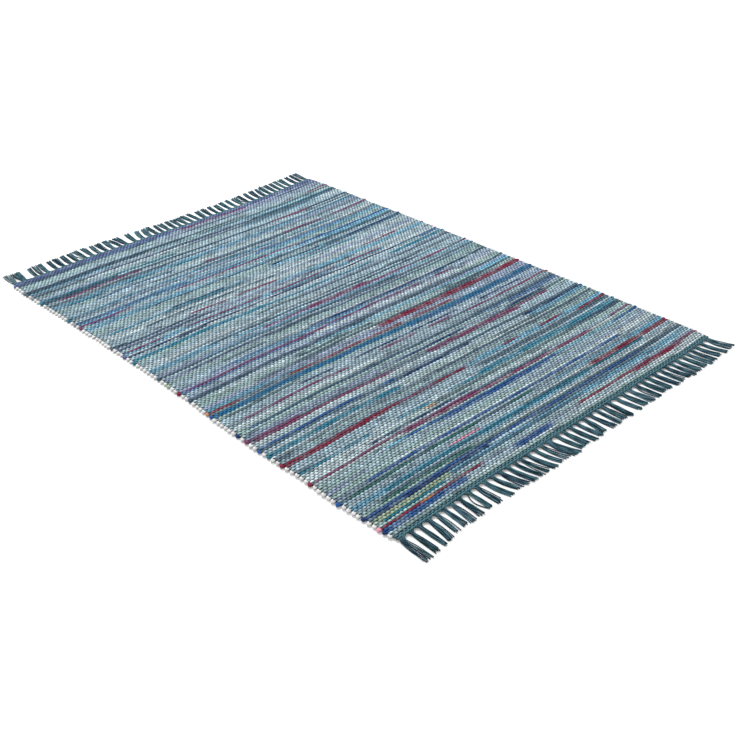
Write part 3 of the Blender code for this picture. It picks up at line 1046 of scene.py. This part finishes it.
fringe_chance = np.random.default_rng(59)
fringes = (
    ("near_fringe", "fringe_near", NEAR_TASSELS, NEAR_STRAYS, near_line, -1),
    ("far_fringe", "fringe_far", FAR_TASSELS, FAR_STRAYS, far_line, 1),
)
for name, comb, groups, strays, line, outward in fringes:
    strand_points, strand_painted_light = fringe_rings(groups, strays, line, outward, fringe_chance)
    plies = ENDS * PLIES_PER_END
    strand_tone = fringe_chance.uniform(0.0, 1.0, (plies, 1, 1)) ** STRAND_TONE_POWER
    shifts = wander(fringe_chance, 1, np.linspace(0, 1, plies), STRAND_BLUE_WAVES)
    strand_blue = (STRAND_BLUE + shifts[0]).clip(0.0, 1.0)[:, None, None]
    strand_marks = {"ridge": strand_painted_light, "yarn_tone": strand_tone, "yarn_blue": strand_blue}
    made = piece(name, strand_points, True, warp_yarn, strand_marks)
    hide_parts(comb)

# ---- The floor, the light and the camera ----
# A seamless pale floor under soft overhead light, and a camera that looks down along the
# rug from in front of its near left corner.

FLOOR_SIZE = 12.0
FLOOR_COLOUR = (0.96, 0.96, 0.96)
SKY_STRENGTH = 0.62
HIGH_SOFTBOX_FROM = (0.8, 1.8, 2.2)
FRONT_FILL_FROM = (-1.5, -2.0, 1.8)
CAMERA_SENSOR = 36.0
CAMERA_LENS = 52.94
CAMERA_FROM = Vector((-1.075, -1.228, 0.896))
CAMERA_AIM = Vector((0.576, 0.624, -0.527))
CAMERA_ROLL = -1.36


def add_floor():
    half = FLOOR_SIZE / 2
    corners = [(-half, -half, 0.0), (half, -half, 0.0), (half, half, 0.0), (-half, half, 0.0)]
    mesh = bpy.data.meshes.new("floor")
    mesh.from_pydata(corners, [], [(0, 1, 2, 3)])
    made = bpy.data.objects.new("floor", mesh)
    bpy.context.scene.collection.objects.link(made)
    recipe = Recipe("pale_floor", 0.9, 0.0)
    grain = recipe.noise(recipe.place(), 30.0, 1.0)
    recipe.feed(recipe.shader.inputs["Base Color"], recipe.scaled(FLOOR_COLOUR, 0.99 + grain * 0.01))
    mesh.materials.append(recipe.material)


def add_softbox(name, place, size, watts):
    """A round softbox that looks at the middle of the rug."""
    light = bpy.data.lights.new(name, "AREA")
    light.shape = "DISK"
    light.size = size
    light.energy = watts
    made = bpy.data.objects.new(name, light)
    made.location = place
    made.rotation_euler = (-Vector(place)).to_track_quat("-Z", "Y").to_euler()
    bpy.context.scene.collection.objects.link(made)


add_floor()
add_softbox("high_softbox", HIGH_SOFTBOX_FROM, 1.0, 75.0)
add_softbox("front_fill", FRONT_FILL_FROM, 2.0, 14.0)

world = bpy.data.worlds.new("studio")
world.use_nodes = True
sky = world.node_tree.nodes["Background"]
sky.inputs["Color"].default_value = (1.0, 1.0, 1.0, 1.0)
sky.inputs["Strength"].default_value = SKY_STRENGTH
bpy.context.scene.world = world
bpy.context.scene.view_settings.view_transform = "Standard"

cloth_low_y = body_low.y - PIECE_GAP - NEAR_HEADING
cloth_high_y = body_high.y + PIECE_GAP + FAR_HEADING
cloth_middle = Vector(((body_low.x + body_high.x) / 2, (cloth_low_y + cloth_high_y) / 2, 0.0))
camera = bpy.data.objects.new("camera", bpy.data.cameras.new("camera"))
camera.data.lens = CAMERA_LENS
camera.data.sensor_width = CAMERA_SENSOR
turn = CAMERA_AIM.to_track_quat("-Z", "Y").to_matrix().to_4x4()
roll = Matrix.Rotation(math.radians(CAMERA_ROLL), 4, "Z")
camera.matrix_world = Matrix.Translation(cloth_middle + CAMERA_FROM) @ turn @ roll
bpy.context.scene.collection.objects.link(camera)
bpy.context.scene.camera = camera
